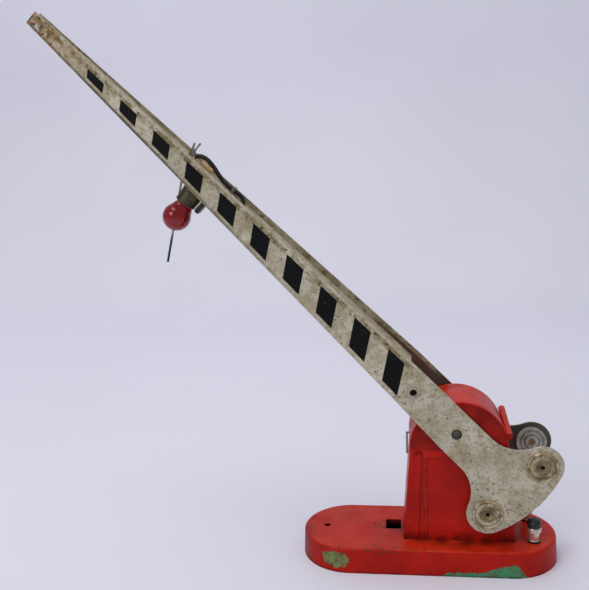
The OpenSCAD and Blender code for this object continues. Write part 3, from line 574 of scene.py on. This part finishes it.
def paint_frame():
    """Give every piece of the frame its own look, or else its slot's."""
    slots = {row["node"]: row["material_slot"] for row in frame["record"]["subparts"]}
    for name, node in frame["nodes"].items():
        look = OWN_LOOKS.get(name, LOOKS.get(slots[name]))
        for place in node.material_slots:
            place.material = look


# ---------- pieces made here ----------


def new_piece(name, mesh, body, look):
    """A piece made here, riding on a body."""
    piece = bpy.data.objects.new(name, mesh)
    bpy.context.scene.collection.objects.link(piece)
    mesh.materials.append(look)
    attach(piece, body)
    return piece


STRIPES = 10
STRIPE_FIRST_U = 35.4
STRIPE_STEP = 18.4
# the first stripe's length; each one after it is longer, up to the fourth
STRIPE_LENGTH = 8.5
STRIPE_GROWTH = 1 / 6
LAST_TO_GROW = 3
# how far a stripe's upper end lies towards the tip, for each millimetre of its height
STRIPE_LEAN = 0.64
# bare silver above and below a stripe
STRIPE_MARGINS = (2.4, 2.0)
# a stripe stands out of its plate by the first and reaches into it by the second
PAINT_OUT = 0.04
PAINT_IN = 0.05


def stripe_outline(index):
    """The four corners of one stripe in the boom's frame, as (u, w) in millimetres."""
    centre = STRIPE_FIRST_U + STRIPE_STEP * index
    top = taper(UPPER_EDGE, centre) - STRIPE_MARGINS[0]
    bottom = taper(LOWER_EDGE, centre) + STRIPE_MARGINS[1]
    half_long = (STRIPE_LENGTH + STRIPE_GROWTH * min(index, LAST_TO_GROW)) / 2
    half_high = (top - bottom) / 2
    corners = []
    for along, up in ((-1, -1), (1, -1), (1, 1), (-1, 1)):
        u = centre + along * half_long + up * half_high * STRIPE_LEAN
        upper = taper(UPPER_EDGE, u) - STRIPE_MARGINS[0]
        lower = taper(LOWER_EDGE, u) + STRIPE_MARGINS[1]
        w = upper if up > 0 else lower
        corners.append((u, w))
    return corners


def make_stripes(name, side):
    """Ten thin coats of paint on one plate's outer face."""
    mesh = bpy.data.meshes.new(name)
    form = bmesh.new()
    for index in range(STRIPES):
        layers = []
        for lift in (-PAINT_IN, PAINT_OUT):
            ring = []
            for u, w in stripe_outline(index):
                y = side * (taper(HALF_WIDTH, u) + lift)
                ring.append(form.verts.new(boom_point(u, w, y)))
            layers.append(ring)
        inner, outer = layers
        form.faces.new(inner)
        form.faces.new(outer)
        for i in range(4):
            j = (i + 1) % 4
            form.faces.new((inner[i], inner[j], outer[j], outer[i]))
    bmesh.ops.recalc_face_normals(form, faces=form.faces)
    form.to_mesh(mesh)
    form.free()
    return mesh


# the lamp lead's route in the boom's frame: along, above, across
LAMP_LEAD = [
    (152, 4.4, -1.2), (150.8, 6, -1), (149.2, 6.8, -0.6), (147.2, 7, 0), (145, 6.7, 0.6),
    (142.5, 6.1, 1.2), (140, 5.3, 1.9), (137.6, 4.7, 2.6), (135, 4.5, 3.1),
    (132, 4.6, 3.6), (129.5, 4.9, 3.9), (127.6, 4.9, 4.1), (126, 4.1, 4.2), (124.8, 2.6, 4.2),
    (123.4, 1, 4.1), (121, 0.2, 4), (117, 0, 4), (110, 0.1, 4), (98, 0.3, 4), (84, 0.6, 4),
    (70, 0.9, 4), (56, 1.2, 4), (46, 1.5, 4), (41, 1.6, 3.4), (38, 1.7, 2),
]
LEAD_RADIUS = 0.88


def make_lead():
    """The lamp's lead as one smooth round tube."""
    curve = bpy.data.curves.new("lamp_lead_curve", "CURVE")
    curve.dimensions = "3D"
    curve.bevel_depth = LEAD_RADIUS * MM
    curve.bevel_resolution = 6
    curve.resolution_u = 6
    curve.use_fill_caps = True
    line = curve.splines.new("BEZIER")
    line.bezier_points.add(len(LAMP_LEAD) - 1)
    for point, (u, w, y) in zip(line.bezier_points, LAMP_LEAD):
        point.co = boom_point(u, w, y)
        point.handle_left_type = "AUTO"
        point.handle_right_type = "AUTO"
    drawn = bpy.data.objects.new("lamp_lead_curve", curve)
    bpy.context.scene.collection.objects.link(drawn)
    bpy.context.view_layer.update()
    graph = bpy.context.evaluated_depsgraph_get()
    mesh = bpy.data.meshes.new_from_object(drawn.evaluated_get(graph))
    bpy.data.objects.remove(drawn)
    mesh.name = "lamp_lead_mesh"
    mesh.materials.clear()
    for face in mesh.polygons:
        face.use_smooth = True
    return mesh


# ---------- stage, light and camera ----------


def stage_look(name, tone):
    """Plain matt paper of almost one tone."""
    f = Finish(name)
    darker = [part - 3 for part in tone]
    colour = f.mix(f.clouds(0.3, 0.7, 180, 3, seed=200), srgb(*tone), srgb(*darker))
    f.surface(colour, 0.75)
    f.shader.inputs["Specular IOR Level"].default_value = 0.2
    return f.material


FLOOR_FRONT_Y = -2.5
WALL_Y = 0.75
WALL_TOP = 3
STAGE_HALF_WIDTH = 3
BEND_RADIUS = 0.3
BEND_STEPS = 16


def make_stage():
    """A pale floor that curves up into a wall behind the object."""
    bend_y = WALL_Y - BEND_RADIUS
    profile = [(FLOOR_FRONT_Y, 0), (bend_y, 0)]
    for step in range(1, BEND_STEPS + 1):
        angle = math.pi / 2 * step / BEND_STEPS
        rise = BEND_RADIUS - BEND_RADIUS * math.cos(angle)
        profile.append((bend_y + BEND_RADIUS * math.sin(angle), rise))
    profile.append((WALL_Y, WALL_TOP))
    mesh = bpy.data.meshes.new("sweep_mesh")
    form = bmesh.new()
    rows = []
    for y, z in profile:
        rows.append([form.verts.new((x, y, z)) for x in (-STAGE_HALF_WIDTH, STAGE_HALF_WIDTH)])
    for low, high in zip(rows, rows[1:]):
        form.faces.new((low[0], low[1], high[1], high[0])).smooth = True
    form.to_mesh(mesh)
    form.free()
    mesh.materials.append(stage_look("pale_stage", (228, 227, 238)))
    sweep = bpy.data.objects.new("sweep", mesh)
    bpy.context.scene.collection.objects.link(sweep)


def add_light(name, place, aim, size, power):
    """A rectangular area light."""
    data = bpy.data.lights.new(name, "AREA")
    data.shape = "RECTANGLE"
    data.size = size[0]
    data.size_y = size[1]
    data.energy = power
    light = bpy.data.objects.new(name, data)
    bpy.context.scene.collection.objects.link(light)
    light.location = place
    light.rotation_euler = (Vector(aim) - Vector(place)).to_track_quat("-Z", "Y").to_euler()


def make_lights():
    """A soft even sky, with one large light above and a weaker one at the front left."""
    world = bpy.data.worlds.new("studio_world")
    bpy.context.scene.world = world
    world.use_nodes = True
    sky = world.node_tree.nodes["Background"]
    sky.inputs["Color"].default_value = (0.93, 0.94, 1, 1)
    sky.inputs["Strength"].default_value = 0.42
    add_light("overhead", (-0.25, -0.1, 1.25), (0, 0, 0), (1.1, 0.8), 7.5)
    add_light("front_left", (-0.75, -0.95, 0.75), (0, 0, 0.08), (0.5, 0.5), 3.2)


CAMERA_PLACE = (-0.0084, -0.3093, 0.1700)
CAMERA_TURNS = (8.22, 10.47, -2.42)
CAMERA_LENS = 47
CAMERA_SENSOR = 36


def make_camera():
    """The view from a little right of the near side, slightly above, with a small roll."""
    azimuth, elevation, roll = [math.radians(angle) for angle in CAMERA_TURNS]
    level = math.cos(elevation)
    back = Vector((math.sin(azimuth) * level, -math.cos(azimuth) * level, math.sin(elevation)))
    right = Vector((math.cos(azimuth), math.sin(azimuth), 0))
    up = back.cross(right)
    rolled_right = right * math.cos(roll) + up * math.sin(roll)
    rolled_up = up * math.cos(roll) - right * math.sin(roll)
    data = bpy.data.cameras.new("photo_camera")
    data.sensor_width = CAMERA_SENSOR
    data.lens = CAMERA_LENS
    data.clip_start = 0.01
    camera = bpy.data.objects.new("photo_camera", data)
    bpy.context.scene.collection.objects.link(camera)
    turn = Matrix((rolled_right, rolled_up, back)).transposed().to_4x4()
    camera.matrix_world = Matrix.Translation(CAMERA_PLACE) @ turn
    bpy.context.scene.camera = camera


make_camera()
make_stage()
make_lights()
bpy.context.scene.view_settings.view_transform = "Standard"
paint_frame()
stripe_paint = stripe_black()
new_piece("near_stripes", make_stripes("near_stripes_mesh", -1), "gate", stripe_paint)
new_piece("far_stripes", make_stripes("far_stripes_mesh", 1), "gate", stripe_paint)
lead = new_piece("lamp_lead_round", make_lead(), "gate", LOOKS["lead_sleeve"])
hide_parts("lamp_lead")
